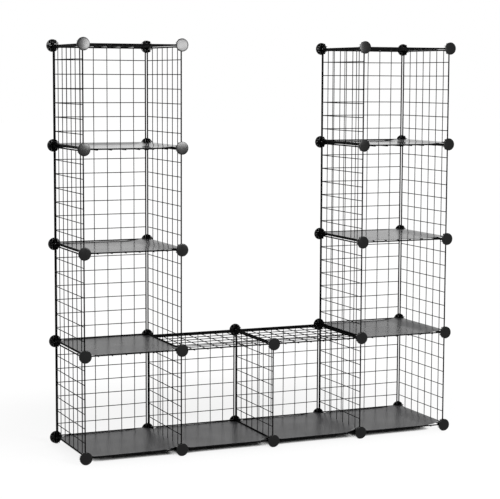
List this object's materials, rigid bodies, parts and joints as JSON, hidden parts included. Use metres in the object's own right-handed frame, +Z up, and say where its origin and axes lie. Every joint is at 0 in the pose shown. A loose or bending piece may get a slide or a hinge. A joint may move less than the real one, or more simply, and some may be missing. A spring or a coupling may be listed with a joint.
{
  "type": "wire cube storage unit",
  "caption": "U-shaped storage unit of open cubes: welded wire panels clipped into round black plastic connectors, with a thin dark plastic sheet on the bottom of every cube.",
  "frame": {"origin": "on the floor, under the middle of the unit's width and depth", "axes": "+Z up, +X to the right seen from the open fronts, which face -Y"},
  "size_m": [1.472, 0.3698, 1.4719],
  "materials": {
    "coated_wire": "steel wire with a smooth black coating",
    "connector_plastic": "black moulded plastic, smooth, low gloss",
    "sheet_plastic": "dark grey plastic sheet, satin"
  },
  "bodies": {
    "root": {"left_back_1": "coated_wire", "left_back_2": "coated_wire", "left_back_3": "coated_wire", "left_back_4": "coated_wire", "left_inner_connectors": "connector_plastic", "left_inner_side_1": "coated_wire", "left_inner_side_2": "coated_wire", "left_inner_side_3": "coated_wire", "left_inner_side_4": "coated_wire", "left_outer_connectors": "connector_plastic", "left_outer_side_1": "coated_wire", "left_outer_side_2": "coated_wire", "left_outer_side_3": "coated_wire", "left_outer_side_4": "coated_wire", "left_shelf_grid_1": "coated_wire", "left_shelf_grid_2": "coated_wire", "left_shelf_grid_3": "coated_wire", "left_shelf_grid_4": "coated_wire", "left_shelf_sheet_1": "sheet_plastic", "left_shelf_sheet_2": "sheet_plastic", "left_shelf_sheet_3": "sheet_plastic", "left_shelf_sheet_4": "sheet_plastic", "left_top": "coated_wire", "middle_connectors": "connector_plastic", "middle_divider": "coated_wire", "middle_left_back": "coated_wire", "middle_left_shelf_grid": "coated_wire", "middle_left_shelf_sheet": "sheet_plastic", "middle_left_top": "coated_wire", "middle_right_back": "coated_wire", "middle_right_shelf_grid": "coated_wire", "middle_right_shelf_sheet": "sheet_plastic", "middle_right_top": "coated_wire", "right_back_1": "coated_wire", "right_back_2": "coated_wire", "right_back_3": "coated_wire", "right_back_4": "coated_wire", "right_inner_connectors": "connector_plastic", "right_inner_side_1": "coated_wire", "right_inner_side_2": "coated_wire", "right_inner_side_3": "coated_wire", "right_inner_side_4": "coated_wire", "right_outer_connectors": "connector_plastic", "right_outer_side_1": "coated_wire", "right_outer_side_2": "coated_wire", "right_outer_side_3": "coated_wire", "right_outer_side_4": "coated_wire", "right_shelf_grid_1": "coated_wire", "right_shelf_grid_2": "coated_wire", "right_shelf_grid_3": "coated_wire", "right_shelf_grid_4": "coated_wire", "right_shelf_sheet_1": "sheet_plastic", "right_shelf_sheet_2": "sheet_plastic", "right_shelf_sheet_3": "sheet_plastic", "right_shelf_sheet_4": "sheet_plastic", "right_top": "coated_wire"}
  },
  "joints": []
}
